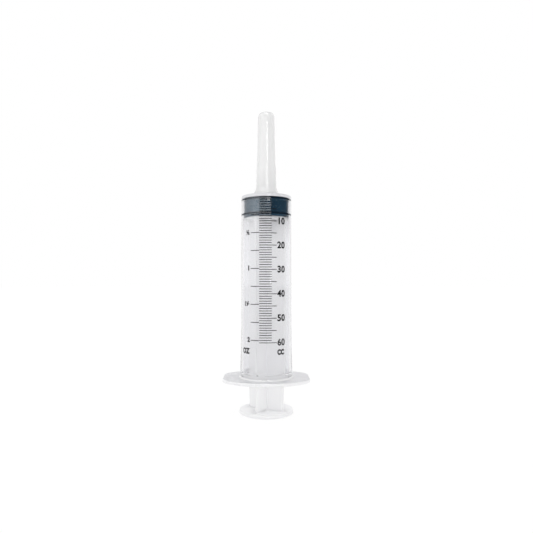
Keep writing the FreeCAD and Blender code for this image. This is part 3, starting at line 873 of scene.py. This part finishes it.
# %% [markdown]
# ## Floor
#
# The photo is a product shot on pure white. The floor is white paper: it shows as white to the
# camera and in or through the plastic, by way of the Light Path node, but a part of it stays plain
# matt paint, so the syringe still leaves a soft shadow. Light that bounces off a matt surface only
# ever meets the paint, so the bright look of the floor doesn't light the object.


# %% White to the eye
def seen_directly(tree):
    """1 for camera, mirror and see-through rays, 0 for light that bounces."""
    path = add_node(tree, "ShaderNodeLightPath")
    total = path.outputs["Is Camera Ray"]
    for other in ("Is Glossy Ray", "Is Transmission Ray"):
        total = add_node(tree, "ShaderNodeMath", {0: total, 1: path.outputs[other]},
                         operation="MAXIMUM").outputs["Value"]
    return total


# %% Floor
FLOOR_RADIUS = 6.0
GLOW_SHARE = 0.85
GLOW_STRENGTH = 1.03
floor_solid = bmesh.new()
bmesh.ops.create_circle(floor_solid, cap_ends=True, segments=64, radius=FLOOR_RADIUS)
floor = as_object("floor", floor_solid)
paper, tree, output = new_material("white paper floor")
matt = add_node(tree, "ShaderNodeBsdfDiffuse", {"Color": linear("#FFFFFF")})
glow = add_node(tree, "ShaderNodeEmission", {
    "Color": linear("#FFFFFF"), "Strength": GLOW_STRENGTH,
})
part_lit = add_node(tree, "ShaderNodeMixShader", {
    "Fac": GLOW_SHARE, 1: matt.outputs["BSDF"], 2: glow.outputs["Emission"],
})
choice = add_node(tree, "ShaderNodeMixShader", {
    "Fac": seen_directly(tree), 1: matt.outputs["BSDF"], 2: part_lit.outputs["Shader"],
})
tree.links.new(choice.outputs["Shader"], output.inputs["Surface"])
floor.data.materials.append(paper)
print(f"floor {2 * FLOOR_RADIUS:.0f} m across")

# %% [markdown]
# ## Light
#
# The world is white to the camera, and lights the syringe evenly from all sides at a plain level.
# Gloss and clear plastic need more than that, because they show what stands around them. So what
# mirror and see-through rays meet is drawn in the world: a tall softbox at the front left that
# fades to its far side, a dark room at the front right above the table, a narrow strip near the
# camera that puts a thin bright line down the cap, and a short low one for the bright spot on the
# foot of the barrel. First come ramps, each a straight change along one direction, and then mixes
# of two levels by a share.

# %% World
SKY_LIGHT = 0.92
TABLE, DARK_ROOM, BACKDROP = 1.4, 0.1, 1.0
BOX_FOOT, BOX_LEFT, BOX_RIGHT = 1.5, 2.5, 1.9
STRIP_LIGHT, LOW_STRIP_LIGHT = 9.0, 5.0
WHITE = 1.0
world = bpy.data.worlds.new("white studio")
bpy.context.scene.world = world
world.use_nodes = True
tree = world.node_tree
tree.nodes.clear()
direction = add_node(tree, "ShaderNodeTexCoord").outputs["Generated"]
towards = add_node(tree, "ShaderNodeSeparateXYZ", {"Vector": direction})
forward = add_node(tree, "ShaderNodeMath", {0: towards.outputs["Y"], 1: -1.0}, operation="MULTIPLY")
azimuth = add_node(tree, "ShaderNodeMath", {
    0: towards.outputs["X"], 1: forward.outputs["Value"],
}, operation="ARCTAN2")
degrees = add_node(tree, "ShaderNodeMath", {0: azimuth.outputs["Value"]}, operation="DEGREES")
signal = {
    "up": towards.outputs["Z"], "back": towards.outputs["Y"], "round": degrees.outputs["Value"],
    "seen": seen_directly(tree),
    "eye": add_node(tree, "ShaderNodeLightPath").outputs["Is Camera Ray"],
}
for name, source, start, end, first, last in (
    ("above the table", "up", 0.08, 0.13, 0.0, 1.0),
    ("to the back", "back", 0.4, 0.85, 0.0, 1.0),
    ("box left side", "round", -140, -55, 0.0, 1.0),
    ("box right side", "round", 17, 25, 1.0, 0.0),
    ("box level", "round", -38, -18, BOX_LEFT, BOX_RIGHT),
    ("strip left side", "round", 3, 6, 0.0, 1.0),
    ("strip right side", "round", 15, 18, 1.0, 0.0),
    ("high", "up", 0.16, 0.2, 0.0, 1.0),
    ("low strip left side", "round", 17, 19, 0.0, 1.0),
    ("low strip right side", "round", 24, 26, 1.0, 0.0),
    ("low", "up", -0.02, 0.04, 1.0, 0.0),
):
    signal[name] = add_node(tree, "ShaderNodeMapRange", {
        "Value": signal[source], "From Min": start, "From Max": end,
        "To Min": first, "To Max": last,
    }).outputs["Result"]
for name, share, first, second in (
    ("table and room", "above the table", TABLE, DARK_ROOM),
    ("room", "to the back", "table and room", BACKDROP),
    ("box area", "box left side", 0.0, "box right side"),
    ("box light", "above the table", BOX_FOOT, "box level"),
    ("with box", "box area", "room", "box light"),
    ("strip sides", "strip left side", 0.0, "strip right side"),
    ("strip area", "strip sides", 0.0, "high"),
    ("with strip", "strip area", "with box", STRIP_LIGHT),
    ("low strip sides", "low strip left side", 0.0, "low strip right side"),
    ("low strip area", "low strip sides", 0.0, "low"),
    ("mirrored", "low strip area", "with strip", LOW_STRIP_LIGHT),
    ("lighting", "seen", SKY_LIGHT, "mirrored"),
    ("shown", "eye", "lighting", WHITE),
):
    signal[name] = add_node(tree, "ShaderNodeMix", {
        "Factor": signal[share], "A": signal.get(first, first), "B": signal.get(second, second),
    }, data_type="FLOAT").outputs["Result"]
sky = add_node(tree, "ShaderNodeBackground", {
    "Color": linear("#FFFFFF"), "Strength": signal["shown"],
})
add_node(tree, "ShaderNodeOutputWorld", {"Surface": sky.outputs["Background"]})
print("world nodes", len(tree.nodes))

# %% [markdown]
# ## Camera
#
# The photo shows the tops of the flange and of the thumb rest as flat ovals, and nothing of the top
# of the shoulder, so the camera stands between them in height. Its height and distance are matched
# to how flat those ovals are, and its lens and tilt to the size and place of the syringe.

# %% Camera
LENS_MM = 32.2
DISTANCE = 0.3054
EYE_HEIGHT = 0.0836
SIDEWAYS = 0.00013
LOOKS_UP = math.radians(1.67)
camera_data = bpy.data.cameras.new("camera")
camera_data.sensor_width = 36
camera_data.lens = LENS_MM
camera = bpy.data.objects.new("camera", camera_data)
camera.location = (SIDEWAYS, -DISTANCE, EYE_HEIGHT)
camera.rotation_euler = (math.pi / 2 + LOOKS_UP, 0, 0)
bpy.context.scene.collection.objects.link(camera)
bpy.context.scene.camera = camera
bpy.context.scene.view_settings.view_transform = "Standard"
print("camera at", tuple(round(value, 4) for value in camera.location))

# %% [markdown]
# ## Sizes and finish
#
# The dressed part should fill the same box as the solids.

# %% Bringing the scene up to date
bpy.context.view_layer.update()
